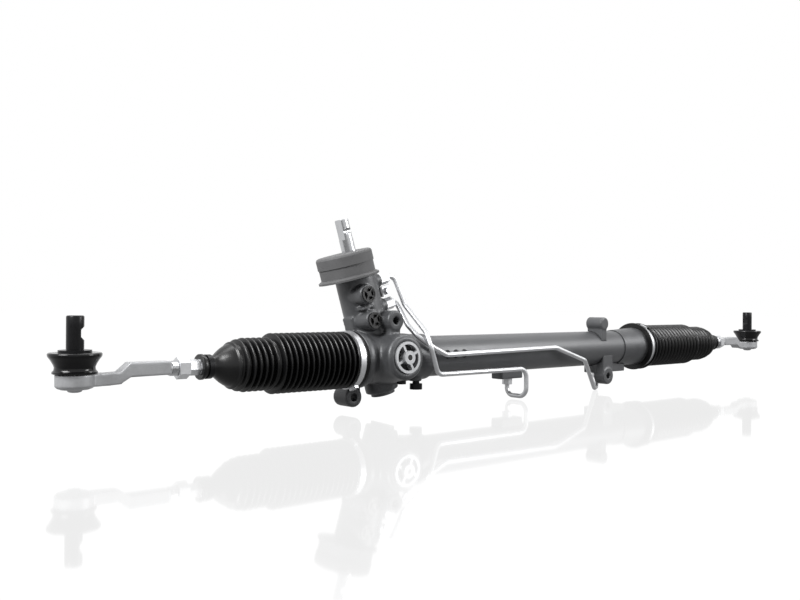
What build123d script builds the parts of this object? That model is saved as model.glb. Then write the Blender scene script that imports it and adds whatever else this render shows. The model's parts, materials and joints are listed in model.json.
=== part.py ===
from build123d import *
from math import acos, asin, cos, pi, radians, sin, sqrt, tan
import os

# Hydraulic steering rack, lengths in millimetres and angles in degrees.
# The rack axis runs along X, and x = 0 is where the pinion crosses the rack.
# The front, where the yoke and the mounting bosses are, is -Y, and +Z is up.
# The saved frame has its origin in the bore of the upper mounting eye, at the eye's front face.

# Shared values
RUN_FIT = 0.05
BALL_FIT = 0.08
CUT_OVER = 1.0
FULL_TURN = 360

# Rack, pinion and their angles
TEETH = 8
MODULE = 2.1
PRESSURE_DEG = 25
BACKLASH = 0.16
FLANK_STEPS = 6
PINION_ADDENDUM_SHARE = 1.0
RACK_ADDENDUM_SHARE = 0.7
TIP_CLEARANCE_SHARE = 0.22
LEAN_DEG = 14.5
ROLL_DEG = 4.0
RACK_R = 12.5
PITCH_BACK = 6.8
TEETH_LEFT = 10
TEETH_RIGHT = 16
TRAVEL_LEFT = 95.0
TRAVEL_RIGHT = 55.0
STOP_ROOM_LEFT = 2.5
STOP_ROOM_RIGHT = 9.5
RACK_END_BORE_R = 7.0
RACK_END_BORE_DEEP = 20.0
RACK_EDGE = 1.5
PISTON_X = 336.0
PISTON_LENGTH = 10.0
PISTON_ROOM = 0.4
PISTON_GROOVE = 1.6
PISTON_RING_WIDE = 3.0

# Pinion group, places measured along the pinion axis from the rack axis
GEAR_HALF = 15.0
LOWER_JOURNAL_R = 7.5
LOWER_JOURNAL_END = 30.0
NUT_THREAD_R = 5.0
NUT_THREAD_END = 35.0
UPPER_JOURNAL_R = 9.0
UPPER_JOURNAL_END = 31.0
TORSION_R = 2.5
SLEEVE_START = 34.0
SLEEVE_END = 86.0
SLEEVE_R = 17.9
SLEEVE_GROOVE = 1.5
SLEEVE_GROOVE_WIDE = 6.0
SLEEVE_GROOVES = 3
VALVE_R = 10.0
VALVE_START = 40.0
VALVE_END = 90.0
SHAFT_JOURNAL_R = 9.0
SHAFT_JOURNAL_END = 132.0
SHAFT_R = 8.5
SHAFT_END = 170.0
SHAFT_TIP_R = 8.2
SHAFT_FLAT = 5.6
SHAFT_FLAT_START = 146.0
SHAFT_NOTCH_AT = 155.5
SHAFT_NOTCH_R = 4.4
SHAFT_NOTCH_OUT = 10.4
SHAFT_EDGE = 1.0
DRIVE_PIN_R = 2.0
DRIVE_PIN_AT = 37.0

# Housing casting
NECK_LEFT_X = -60.0
NECK_R = 29.0
SHOULDER_X = -44.0
SHOULDER_WIDE = 8.0
SHOULDER_R = 33.0
BARREL_R = 29.0
BARREL_RIGHT_X = 32.0
TUBE_SOCKET_WALL = 3.0
TUBE_SOCKET_X = 63.0
CAST_EDGE = 1.5
RACK_BORE_R = 14.0
PINION_BORE_R = 12.0
VALVE_BORE_R = 18.0
TOWER_R = 24.5
TOWER_TOP = 100.0
TOWER_FLARE = 8.0
TOWER_FLARE_TOP = 44.0
LOWER_BULGE_R = 20.0
LOWER_BULGE_END = 40.0
YOKE_BORE_R = 15.0
YOKE_BOSS_R = 26.0
YOKE_BOSS_OUT = 45.0
YOKE_FLARE = 6.0
YOKE_FLARE_OUT = 34.0
YOKE_ROUND = 3.0
PORT_UPPER_AT = 80.0
PORT_LOWER_AT = 49.0
PORT_SIDE = 12.0
PORT_R = 11.5
PORT_OUT = 33.0
PORT_BORE_R = 8.0
PORT_BORE_DEEP = 14.0
PORT_EDGE = 1.2
PAD_WIDE = 18.0
PAD_HIGH = 19.0
PAD_AT = 47.0
PAD_OUT = 26.5
LEDGE_LONG = 16.0
LEDGE_HIGH = 4.0
LEDGE_OUT = 27.0
PIPE_PORT_R = 9.0
PIPE_PORT_OUT = 26.5
PIPE_PORT_UPPER_AT = 90.0
PIPE_PORT_LOWER_AT = 59.0
PIPE_PORT_FORWARD = 8.0

# Mounting points
MOUNT_BORE_R = 4.5
MOUNT_THREAD_R = 4.25
EYE_Z = 45.0
EYE_FACE_Y = -25.0
EYE_R = 12.0
EYE_LONG = 27.0
EYE_HOLE_DEEP = 20.0
EYE_WEB_WIDE = 15.0
LUG_X = -40.0
LUG_Z = -44.0
LUG_FACE_Y = 2.0
LUG_R = 11.5
LUG_LONG = 27.0
LUG_WEB_LONG = 20.0
RIGHT_LUG_X = 411.0
RIGHT_LUG_Z = -40.0
RIGHT_LUG_FACE_Y = -24.0
RIGHT_LUG_LONG = 18.0
RIGHT_LUG_HOLE_DEEP = 14.0
RIGHT_LUG_R = 12.5
TOP_BOSS_X = 402.0
TOP_BOSS_Z = 37.0
TOP_BOSS_FACE_Y = -24.0
TOP_BOSS_LONG = 28.0
TOP_BOSS_R = 9.3
TOP_BOSS_WEB_WIDE = 12.0
MOUNT_EDGE = 1.0

# Cylinder tube and what it holds
TUBE_R = 25.0
TUBE_WALL = 3.0
TUBE_LEFT_X = 50.0
TUBE_RIGHT_X = 488.0
STAKE_FIRST_X = 83.0
STAKE_STEP = 14.5
STAKES = 3
STAKE_R = 5.5
STAKE_DEEP = 1.4
STAKE_Z = 3.0
CARRIER_X = 84.0
CARRIER_LONG = 117.0
CARRIER_WALL = 3.0
INNER_SEAL_LONG = 9.0
LEFT_PORT_X = 217.0
RIGHT_PORT_X = 415.0
PORT_HOLE_R = 3.0
OUTER_SEAL_X = 427.0
OUTER_SEAL_LONG = 8.0
BUSH_LONG = 20.0
STOP_RING_LONG = 2.0
STOP_RING_WALL = 4.0
BLOCK_LONG = 44.0
BLOCK_WIDE = 20.0
BLOCK_BOTTOM_Z = -35.0
FOOT_LONG = 78.0
FOOT_WIDE = 20.0
FOOT_BOTTOM_Z = -36.0
FOOT_X = 434.0
BLOCK_EDGE = 2.5
COLLAR_X = 451.0
COLLAR_START_WALL = 1.3
COLLAR_SEAT_X = 505.0
COLLAR_END_X = 521.0
COLLAR_BORE_R = 20.0

# Dust cap, placed off the shaft axis
CAP_OFFSET = 9.0
CAP_TOP = 131.0
CAP_STEP_AT = 117.0
CAP_UPPER_R = 33.6
CAP_LOWER_R = 32.6
CAP_FLANGE_R = 36.4
CAP_FLANGE_HIGH = 2.2
CAP_WALL = 2.5
CAP_ROUND = 3.0
CAP_ROUND_CORNER = 1.0
CAP_SHAFT_GAP = 0.6
SEAL_HIGH = 7.0

# Bearings, nut and lower cap
UPPER_BEARING_START = 17.0
UPPER_BEARING_HIGH = 12.0
LOWER_BEARING_START = 17.0
LOWER_BEARING_HIGH = 11.0
BEARING_RING_SHARE = 0.3
PINION_NUT_HIGH = 5.0
PINION_NUT_AF = 15.0
LOWER_CAP_R = 14.5
LOWER_CAP_HIGH = 4.0
LOWER_CAP_PLUG = 3.0

# Yoke, measured outward from the rack axis
YOKE_START = 3.0
YOKE_END = 27.0
YOKE_GROOVE_AT = 22.0
YOKE_GROOVE_WIDE = 2.4
YOKE_GROOVE_DEEP = 1.6
YOKE_POCKET_R = 8.0
YOKE_POCKET_DEEP = 8.0
SPRING_DISC_SHARE = 0.25
SPRING_ROOM = 0.3
PLUG_R = 18.3
PLUG_START = 31.0
PLUG_FACE = 47.0
PLUG_RIM = 3.2
PLUG_POCKET = 7.0
PLUG_HUB_R = 7.8
PLUG_HUB_OUT = 3.0
PLUG_SPOKES = 4
PLUG_SPOKE_WIDE = 3.0
PLUG_SPOKE_TURN = 25
ADJUSTER_R = 4.0
ADJUSTER_SOCKET_R = 2.2
ADJUSTER_SOCKET_DEEP = 4.0

# Port plugs
CAP_PLUG_R = 9.4
CAP_PLUG_OUT = 1.5
CAP_PLUG_RIM = 1.5
CAP_PLUG_POCKET = 3.0
CAP_PLUG_RIB = 1.6
CAP_PLUG_HUB_R = 3.0
CAP_PLUG_TURNS = (45, 135)

# Small screws on the housing
CENTRING_X = 44.0
CENTRING_Y = -10.0
CENTRING_BOSS_R = 7.0
CENTRING_BOSS_BOTTOM = -29.0
CENTRING_NECK_R = 4.2
CENTRING_NECK_DEEP = 8.0
CENTRING_HEAD_R = 7.6
CENTRING_HEAD_TOP = -31.5
CENTRING_HEAD_HIGH = 7.0
BLANK_X = 14.0
BLANK_Y = -18.0
BLANK_R = 5.5
BLANK_TOP = -20.0
BLANK_BOTTOM = -30.0
BLANK_BOSS_BOTTOM = -26.0

# Transfer pipes
PIPE_R = 3.0
PIPE_NUT_LONG = 13.0
PIPE_NUT_AF = 13.0
BLOCK_NUT_LONG = 8.0
BLOCK_NUT_AF = 12.0
PIPE_BEND_R = 12.0
BEND_ROOM_SHARE = 0.45
LEFT_RUN_Y = -34.0
LEFT_RUN_Z = -20.0
LEFT_PIPE_BENDS = [(34.0, 0.0, 63.0), (43.5, -28.0, 31.0), (43.0, -37.5, 14.0),
                   (58.0, LEFT_RUN_Y, LEFT_RUN_Z)]
RIGHT_RUN_Y = -32.0
RIGHT_PIPE_BENDS = [(30.0, -10.0, 39.0), (35.0, -23.0, 26.0), (52.0, -31.0, 13.0), (74.0, RIGHT_RUN_Y, 3.0),
                    (280.0, RIGHT_RUN_Y, 6.0), (344.0, RIGHT_RUN_Y, -14.0)]
HOOK_DROP = 22.0
HOOK_SIDE = 22.0
HOOK_FORWARD = 12.0
BRACKET_LONG = 17.0
BRACKET_WIDE = 9.0
BRACKET_HIGH = 12.0
BRACKET_AT = 75.0
BRACKET_EDGE = 1.5
BRACKET_SCREW_R = 3.0
BRACKET_HEAD_AF = 8.0
BRACKET_HEAD_HIGH = 3.5

# Bellows and clamps
BELLOWS_WALL = 1.6
CUFF_WALL = 2.6
SEAT_LONG = 16.0
CLAMP_WIDE = 7.0
CLAMP_THICK = 1.8
CLAMP_INSET = 3.0
LIP_R = 32.2
LIP_FLARED_R = 36.0
LIP_LONG = 3.0
LARGE_RIDGES = 12
SMALL_RIDGES = 8
LARGE_RIDGE_R = 32.5
LARGE_ROOT_R = 27.6
SMALL_RIDGE_R = 27.8
SMALL_ROOT_R = 23.6
LARGE_START_SHARE = 0.02
LARGE_END_SHARE = 0.525
SMALL_START_SHARE = 0.62
SMALL_END_SHARE = 0.945
RIDGE_WIDTH_SHARE = 0.5
SMALL_CUFF_R = 11.0
SMALL_CUFF_LONG = 17.0
SMALL_RIM_R = 13.0
SMALL_RIM_LONG = 4.0
SMALL_CLAMP_R = 12.4
SMALL_CLAMP_WIDE = 5.0
EAR_WIDE = 5.0
EAR_HIGH = 3.2
EAR_LONG = 11.0
EAR_TURN_DEG = 205

# Inner ball joints
TIE_LENGTH = 222.0
INNER_BALL_R = 14.0
SOCKET_R = 19.5
SOCKET_BACK = 20.0
SOCKET_MOUTH = 12.0
SOCKET_LIP_AT = 9.5
SOCKET_LIP_R = 10.45
SOCKET_MOUTH_R = 11.9
SOCKET_FLATS = 36.0
SOCKET_FLAT_LONG = 9.0
SEAT_WALL = 3.0
SEAT_HALF = 8.0
WASHER_THICK = 1.5
WASHER_R = 16.0

# Tie rod, places measured from the outer ball towards the rack
ROD_R = 6.2
ROD_COLLAR_R = 8.0
COLLAR_SEAT_START = 123.0
HEX_START = 110.0
HEX_END = 123.0
HEX_AF = 14.5
THREAD_R = 7.0
THREAD_START = 62.0
JAM_START = 99.0
JAM_LONG = 11.0
JAM_AF = 19.5

# Tie rod end and its stud
OUTER_BALL_R = 11.0
OUTER_BALL_Z = -4.5
CUP_R = 17.4
CUP_TOP_Z = -0.9
CUP_BOTTOM_Z = -14.2
CUP_ROUND = 3.0
CUP_BORE_R = 14.0
DOME_Z = -16.8
DOME_RIM_Z = -14.7
DOME_RIM_R = 12.0
SEAT_BOTTOM_Z = -13.2
DOME_R = 8.5
BAR_START = 49.0
BAR_END = 91.0
BAR_HIGH = 13.5
BAR_WIDE = 14.5
BAR_EDGE = 3.0
BAR_Z = 1.0
ARM_Z = -7.5
ARM_HIGH = 12.0
ARM_WIDE = 17.0
ARM_START = 10.0
ARM_CRANK_X = 22.0
STUD_R = 7.9
STUD_SEAT_R = 7.4
STUD_SHANK_Z = 21.4
STUD_TOP_Z = 52.3
STUD_NECK_R = 6.5
STUD_EDGE = 1.2
STUD_NOTCH_Z = 36.0
STUD_NOTCH_HIGH = 14.0
STUD_NOTCH_DEEP = 1.8
STUD_WAIST_R = 7.6
STUD_WAIST_HIGH = 15.0
BOOT_FLANGE_R = 23.8
BOOT_FLANGE_LOW_Z = 11.8
BOOT_FLANGE_TOP_Z = 18.6
BOOT_WAIST_R = 18.2
BOOT_WAIST_Z = 5.4
BOOT_LIP_R = 19.9
BOOT_LIP_Z = 1.8
BOOT_WALL = 2.0
BOOT_COLLAR_R = 14.8
BOOT_COLLAR_TOP_Z = 20.9
BOOT_GAP = 0.3

# Values that follow from those above
LEAN = radians(LEAN_DEG)
PRESSURE = radians(PRESSURE_DEG)
PITCH_R = MODULE * TEETH / 2
BASE_R = PITCH_R * cos(PRESSURE)
TIP_R = PITCH_R + PINION_ADDENDUM_SHARE * MODULE
ROOT_R = PITCH_R - (RACK_ADDENDUM_SHARE + TIP_CLEARANCE_SHARE) * MODULE
TOOTH_PITCH = pi * MODULE
TOOTH_STEP = TOOTH_PITCH / cos(LEAN)
RACK_TOP_Y = PITCH_BACK + RACK_ADDENDUM_SHARE * MODULE
RACK_ROOT_Y = PITCH_BACK - (PINION_ADDENDUM_SHARE + TIP_CLEARANCE_SHARE) * MODULE
PINION_Y = PITCH_BACK + PITCH_R
TUBE_BORE_R = TUBE_R - TUBE_WALL
TUBE_SOCKET_R = TUBE_R + TUBE_SOCKET_WALL
COLLAR_START_R = TUBE_R + COLLAR_START_WALL
PISTON_R = TUBE_BORE_R - PISTON_ROOM
RACK_LEFT_X = NECK_LEFT_X - TRAVEL_RIGHT - STOP_ROOM_LEFT
RACK_RIGHT_X = COLLAR_END_X + TRAVEL_LEFT + STOP_ROOM_RIGHT
BALL_TO_RACK = SOCKET_BACK + WASHER_THICK
INNER_LEFT_X = RACK_LEFT_X - BALL_TO_RACK
INNER_RIGHT_X = RACK_RIGHT_X + BALL_TO_RACK
OUTER_LEFT_X = INNER_LEFT_X - TIE_LENGTH
OUTER_RIGHT_X = INNER_RIGHT_X + TIE_LENGTH
SHAFT_HOLE_R = SHAFT_R + CAP_SHAFT_GAP

# Frames: FRAME moves the rack axis frame to the eye, ROLL turns the gear about the rack axis,
# LEANING tips the upright axis over to the pinion's
FRAME = Pos(0, -EYE_FACE_Y, -EYE_Z)
ROLL = Rot(-ROLL_DEG, 0, 0)
LEANING = Plane(origin=(0, 0, 0), x_dir=(cos(LEAN), 0, sin(LEAN)), z_dir=(-sin(LEAN), 0, cos(LEAN))).location
TOWER = ROLL * Pos(0, PINION_Y, 0) * LEANING
YOKE = ROLL * Rot(90, 0, 0)
ALONG_X = Rot(0, 90, 0)
AGAINST_X = Rot(0, -90, 0)
FACING_FRONT = Rot(90, 0, 0)
LEFT_SIDE = Pos(OUTER_LEFT_X, 0, 0)
RIGHT_SIDE = Pos(OUTER_RIGHT_X, 0, 0) * Rot(0, 0, 180)


def save(name, *solids):
    shapes = [FRAME * s for item in solids for s in item.solids()]
    shape = shapes[0] if len(shapes) == 1 else Compound(children=shapes)
    export_step(shape, f"parts/{name}.step")


def rod(r, start, end):
    """Cylinder on the local Z axis from start to end."""
    return Pos(0, 0, (start + end) / 2) * Cylinder(r, end - start)


def ring(outer, inner, start, end):
    return rod(outer, start, end) - rod(inner, start - CUT_OVER, end + CUT_OVER)


def turned(points):
    """Solid of revolution about the local Z axis from (radius, height) points."""
    outline = Polyline(*[(r, 0, z) for r, z in points], close=True)
    return revolve(make_face(outline), Axis.Z, FULL_TURN)


def round_boss(r, start, end, edge):
    """Cylinder from start to end whose end face has a bevelled rim."""
    return turned([(0, start), (r, start), (r, end - edge), (r - edge, end), (0, end)])


def round_bar(r, start, end, edge):
    """Cylinder from start to end with both rims bevelled."""
    return turned([(0, start), (r - edge, start), (r, start + edge),
                   (r, end - edge), (r - edge, end), (0, end)])


def hexagon(across_flats, start, end):
    prism = extrude(RegularPolygon(across_flats / 2, 6, major_radius=False), end - start)
    return Pos(0, 0, start) * prism


def block(x_size, y_size, z_size, centre, edge=0):
    shape = Box(x_size, y_size, z_size)
    if edge:
        shape = chamfer(shape.edges().filter_by(Axis.Z), edge)
    return Pos(*centre) * shape


# Casting

def rack_housing():
    shoulder_end = SHOULDER_X + SHOULDER_WIDE
    body = ALONG_X * turned([
        (0, NECK_LEFT_X), (NECK_R - CAST_EDGE, NECK_LEFT_X), (NECK_R, NECK_LEFT_X + CAST_EDGE),
        (NECK_R, SHOULDER_X), (SHOULDER_R, SHOULDER_X), (SHOULDER_R, shoulder_end - CAST_EDGE),
        (BARREL_R, shoulder_end + SHOULDER_WIDE), (BARREL_R, BARREL_RIGHT_X),
        (TUBE_SOCKET_R, BARREL_RIGHT_X + SHOULDER_WIDE), (TUBE_SOCKET_R, TUBE_SOCKET_X - CAST_EDGE),
        (TUBE_SOCKET_R - CAST_EDGE, TUBE_SOCKET_X), (0, TUBE_SOCKET_X)])
    body += TOWER * turned([
        (0, 0), (TOWER_R + TOWER_FLARE, 0), (TOWER_R, TOWER_FLARE_TOP), (TOWER_R, TOWER_TOP), (0, TOWER_TOP)])
    body += TOWER * Rot(180, 0, 0) * round_boss(LOWER_BULGE_R, 0, LOWER_BULGE_END, CAST_EDGE)
    body += YOKE * turned([
        (0, 0), (YOKE_BOSS_R + YOKE_FLARE, 0), (YOKE_BOSS_R, YOKE_FLARE_OUT),
        (YOKE_BOSS_R, YOKE_BOSS_OUT - YOKE_ROUND), (YOKE_BOSS_R - YOKE_ROUND, YOKE_BOSS_OUT),
        (0, YOKE_BOSS_OUT)])
    for at in (PORT_UPPER_AT, PORT_LOWER_AT):
        body += port_place(at) * round_boss(PORT_R, 0, PORT_OUT, PORT_EDGE)
    for at in (PIPE_PORT_UPPER_AT, PIPE_PORT_LOWER_AT):
        body += pipe_port_place(at) * round_boss(PIPE_PORT_R, 0, PIPE_PORT_OUT, PORT_EDGE)
    body += TOWER * block(PAD_OUT, PAD_WIDE, PAD_HIGH, (-PAD_OUT / 2, 0, PAD_AT))
    ledge_at = (PORT_UPPER_AT + PORT_LOWER_AT) / 2
    body += TOWER * block(LEDGE_LONG, LEDGE_OUT, LEDGE_HIGH, (-PORT_SIDE, -LEDGE_OUT / 2, ledge_at))
    body += mount_boss(0, EYE_Z, EYE_FACE_Y, EYE_LONG, EYE_R)
    body += block(EYE_WEB_WIDE, EYE_LONG - MOUNT_EDGE * 2, EYE_Z, (0, EYE_FACE_Y + EYE_LONG / 2, EYE_Z / 2))
    body += mount_boss(LUG_X, LUG_Z, LUG_FACE_Y, LUG_LONG, LUG_R)
    body += block(LUG_R, LUG_WEB_LONG, -LUG_Z, (LUG_X + LUG_R / 2, LUG_FACE_Y + LUG_LONG / 2, LUG_Z / 2))
    body += Pos(CENTRING_X, CENTRING_Y, 0) * rod(CENTRING_BOSS_R, CENTRING_BOSS_BOTTOM, 0)
    body += Pos(BLANK_X, BLANK_Y, 0) * rod(BLANK_R + CAST_EDGE, BLANK_BOSS_BOTTOM, 0)
    return body - housing_hollows()


def housing_hollows():
    cut = ALONG_X * rod(RACK_BORE_R, NECK_LEFT_X - CUT_OVER, TUBE_LEFT_X)
    cut += ALONG_X * rod(TUBE_R, TUBE_LEFT_X, TUBE_SOCKET_X + CUT_OVER)
    cut += TOWER * rod(PINION_BORE_R, -LOWER_BULGE_END - CUT_OVER, SLEEVE_START)
    cut += TOWER * rod(VALVE_BORE_R, UPPER_JOURNAL_END, TOWER_TOP + CUT_OVER)
    cut += YOKE * rod(YOKE_BORE_R, 0, PLUG_START)
    cut += YOKE * rod(PLUG_R, PLUG_START, YOKE_BOSS_OUT + CUT_OVER)
    for at in (PORT_UPPER_AT, PORT_LOWER_AT):
        cut += port_place(at) * rod(PORT_BORE_R, PORT_OUT - PORT_BORE_DEEP, PORT_OUT + CUT_OVER)
    cut += mount_bore(0, EYE_Z, EYE_FACE_Y, EYE_HOLE_DEEP, MOUNT_THREAD_R)
    cut += mount_bore(LUG_X, LUG_Z, LUG_FACE_Y, LUG_LONG + CUT_OVER, MOUNT_BORE_R)
    neck_top = CENTRING_BOSS_BOTTOM + CENTRING_NECK_DEEP
    cut += Pos(CENTRING_X, CENTRING_Y, 0) * rod(CENTRING_NECK_R, CENTRING_BOSS_BOTTOM - CUT_OVER, neck_top)
    cut += Pos(BLANK_X, BLANK_Y, 0) * rod(BLANK_R, BLANK_BOTTOM - CUT_OVER, BLANK_TOP)
    return cut


def port_place(at):
    """Frame of a hose port: its Z axis points to the front."""
    return TOWER * Pos(-PORT_SIDE, 0, at) * FACING_FRONT


def pipe_port_place(at):
    """Frame of a pipe port: its Z axis points to the right."""
    return TOWER * Pos(0, -PIPE_PORT_FORWARD, at) * ALONG_X


def mount_boss(x, z, face_y, long, r):
    """Round boss along Y whose front face is at face_y, with both rims bevelled."""
    return Pos(x, face_y, z) * Rot(-90, 0, 0) * round_bar(r, 0, long, MOUNT_EDGE)


def mount_bore(x, z, face_y, deep, r):
    return Pos(x, face_y, z) * Rot(-90, 0, 0) * rod(r, -CUT_OVER, deep)


# Tube, brackets and what the tube holds

def cylinder_tube():
    tube = ALONG_X * ring(TUBE_R, TUBE_BORE_R, TUBE_LEFT_X, TUBE_RIGHT_X)
    for i in range(STAKES):
        place = Pos(STAKE_FIRST_X + i * STAKE_STEP, 0, STAKE_Z) * FACING_FRONT
        tube -= place * rod(STAKE_R, sqrt(TUBE_R ** 2 - STAKE_Z ** 2) - STAKE_DEEP, TUBE_R + CUT_OVER)
    for x in (LEFT_PORT_X, RIGHT_PORT_X):
        tube -= Pos(x, 0, 0) * rod(PORT_HOLE_R, -TUBE_R - CUT_OVER, 0)
    return tube


def under_tube_block(x, long, wide, bottom, port_x):
    """Welded block below the tube with a port for a pipe nut."""
    shape = block(long, wide, -bottom, (x, 0, bottom / 2), BLOCK_EDGE)
    shape -= ALONG_X * rod(TUBE_R, x - long, x + long)
    return shape - Pos(port_x, 0, 0) * rod(PORT_HOLE_R, bottom - CUT_OVER, 0)


def left_port_block():
    return under_tube_block(LEFT_PORT_X, BLOCK_LONG, BLOCK_WIDE, BLOCK_BOTTOM_Z, LEFT_PORT_X)


def right_bracket():
    """Foot under the tube with the mounting lug in front of it."""
    foot = under_tube_block(FOOT_X, FOOT_LONG, FOOT_WIDE, FOOT_BOTTOM_Z, RIGHT_PORT_X)
    lug = mount_boss(RIGHT_LUG_X, RIGHT_LUG_Z, RIGHT_LUG_FACE_Y, RIGHT_LUG_LONG, RIGHT_LUG_R)
    lug += block(2 * (RIGHT_LUG_R - MOUNT_EDGE), RIGHT_LUG_LONG - 2 * MOUNT_EDGE, -RIGHT_LUG_Z,
                 (RIGHT_LUG_X, RIGHT_LUG_FACE_Y + RIGHT_LUG_LONG / 2, RIGHT_LUG_Z / 2))
    lug -= ALONG_X * rod(TUBE_R, RIGHT_LUG_X - FOOT_LONG, RIGHT_LUG_X + FOOT_LONG)
    shape = foot + lug - collar_outside()
    return shape - mount_bore(RIGHT_LUG_X, RIGHT_LUG_Z, RIGHT_LUG_FACE_Y, RIGHT_LUG_HOLE_DEEP, MOUNT_THREAD_R)


def top_boss():
    shape = mount_boss(TOP_BOSS_X, TOP_BOSS_Z, TOP_BOSS_FACE_Y, TOP_BOSS_LONG, TOP_BOSS_R)
    shape += block(TOP_BOSS_WEB_WIDE, TOP_BOSS_LONG - 2 * MOUNT_EDGE, TOP_BOSS_Z,
                   (TOP_BOSS_X, TOP_BOSS_FACE_Y + TOP_BOSS_LONG / 2, TOP_BOSS_Z / 2))
    return shape - ALONG_X * rod(TUBE_R, TOP_BOSS_X - TUBE_R, TOP_BOSS_X + TUBE_R)


def seal_carrier():
    """Spacer tube that the stakes hold, with the wall that carries the inner seal."""
    end = CARRIER_X + CARRIER_LONG
    wall_x = end - INNER_SEAL_LONG
    inside_r = TUBE_BORE_R - CARRIER_WALL
    shape = rod(TUBE_BORE_R, CARRIER_X, end)
    shape -= rod(inside_r, CARRIER_X - CUT_OVER, wall_x - CARRIER_WALL)
    shape -= rod(RACK_BORE_R, wall_x - CARRIER_WALL - CUT_OVER, wall_x)
    shape -= rod(inside_r, wall_x, end + CUT_OVER)
    return ALONG_X * shape


def inner_seal():
    end = CARRIER_X + CARRIER_LONG
    return ALONG_X * ring(TUBE_BORE_R - CARRIER_WALL, RACK_R + RUN_FIT, end - INNER_SEAL_LONG, end)


def outer_seal():
    return ALONG_X * ring(TUBE_BORE_R, RACK_R + RUN_FIT, OUTER_SEAL_X, OUTER_SEAL_X + OUTER_SEAL_LONG)


def rack_bush():
    start = OUTER_SEAL_X + OUTER_SEAL_LONG
    return ALONG_X * ring(TUBE_BORE_R, RACK_R + RUN_FIT, start, start + BUSH_LONG)


def stop_ring():
    start = OUTER_SEAL_X + OUTER_SEAL_LONG + BUSH_LONG
    return ALONG_X * ring(TUBE_BORE_R, TUBE_BORE_R - STOP_RING_WALL, start, start + STOP_RING_LONG)


def collar_outside():
    return ALONG_X * turned([
        (0, COLLAR_X), (COLLAR_START_R, COLLAR_X), (NECK_R, COLLAR_SEAT_X),
        (NECK_R, COLLAR_END_X - CAST_EDGE), (NECK_R - CAST_EDGE, COLLAR_END_X), (0, COLLAR_END_X)])


def end_collar():
    shape = collar_outside() - ALONG_X * rod(TUBE_R, COLLAR_X - CUT_OVER, TUBE_RIGHT_X)
    return shape - ALONG_X * rod(COLLAR_BORE_R, COLLAR_X - CUT_OVER, COLLAR_END_X + CUT_OVER)


# Covers, bearings and small parts of the housing

def dust_cap():
    base = TOWER_TOP
    outer = turned([
        (0, base), (CAP_FLANGE_R, base), (CAP_FLANGE_R, base + CAP_FLANGE_HIGH),
        (CAP_LOWER_R, base + 2 * CAP_FLANGE_HIGH), (CAP_LOWER_R, CAP_STEP_AT), (CAP_UPPER_R, CAP_STEP_AT),
        (CAP_UPPER_R, CAP_TOP - CAP_ROUND), (CAP_UPPER_R - CAP_ROUND_CORNER, CAP_TOP - CAP_ROUND_CORNER),
        (CAP_UPPER_R - CAP_ROUND, CAP_TOP), (0, CAP_TOP)])
    inside = rod(CAP_LOWER_R - CAP_WALL, base + CAP_WALL, CAP_TOP - CAP_WALL)
    hole = rod(SHAFT_HOLE_R, base - CUT_OVER, CAP_TOP + CUT_OVER)
    return TOWER * (Pos(-CAP_OFFSET, 0, 0) * (outer - inside) - hole)


def shaft_seal():
    return TOWER * ring(VALVE_BORE_R, SHAFT_JOURNAL_R + RUN_FIT, TOWER_TOP - SEAL_HIGH, TOWER_TOP)


def upper_bearing():
    end = UPPER_BEARING_START + UPPER_BEARING_HIGH
    return TOWER * ring(PINION_BORE_R, UPPER_JOURNAL_R + RUN_FIT, UPPER_BEARING_START, end)


def lower_bearing():
    """Outer and inner ring of a ball bearing, with its balls as one race between them."""
    start = -LOWER_BEARING_START - LOWER_BEARING_HIGH
    end = -LOWER_BEARING_START
    width = PINION_BORE_R - LOWER_JOURNAL_R
    outer = ring(PINION_BORE_R, PINION_BORE_R - width * BEARING_RING_SHARE, start, end)
    inner = ring(LOWER_JOURNAL_R + width * BEARING_RING_SHARE, LOWER_JOURNAL_R + RUN_FIT, start, end)
    race_inset = LOWER_BEARING_HIGH * BEARING_RING_SHARE
    race = ring(PINION_BORE_R - width * BEARING_RING_SHARE, LOWER_JOURNAL_R + width * BEARING_RING_SHARE,
                start + race_inset, end - race_inset)
    return TOWER * (outer + race + inner)


def pinion_nut():
    start = -LOWER_JOURNAL_END - PINION_NUT_HIGH
    nut = hexagon(PINION_NUT_AF, start, -LOWER_JOURNAL_END) - rod(NUT_THREAD_R, start - CUT_OVER, 0)
    return TOWER * nut


def lower_cap():
    return TOWER * (rod(LOWER_CAP_R, -LOWER_BULGE_END - LOWER_CAP_HIGH, -LOWER_BULGE_END)
                    + rod(PINION_BORE_R, -LOWER_BULGE_END, -LOWER_BULGE_END + LOWER_CAP_PLUG))


def yoke():
    shape = rod(YOKE_BORE_R, YOKE_START, YOKE_END)
    shape -= rod(YOKE_POCKET_R, YOKE_END - YOKE_POCKET_DEEP, YOKE_END + CUT_OVER)
    shape -= yoke_groove(YOKE_BORE_R + CUT_OVER)
    return YOKE * shape - ALONG_X * rod(RACK_R + RUN_FIT, -YOKE_BOSS_R, YOKE_BOSS_R)


def yoke_groove(outer_r):
    return ring(outer_r, YOKE_BORE_R - YOKE_GROOVE_DEEP, YOKE_GROOVE_AT, YOKE_GROOVE_AT + YOKE_GROOVE_WIDE)


def yoke_ring():
    return YOKE * yoke_groove(YOKE_BORE_R)


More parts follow.
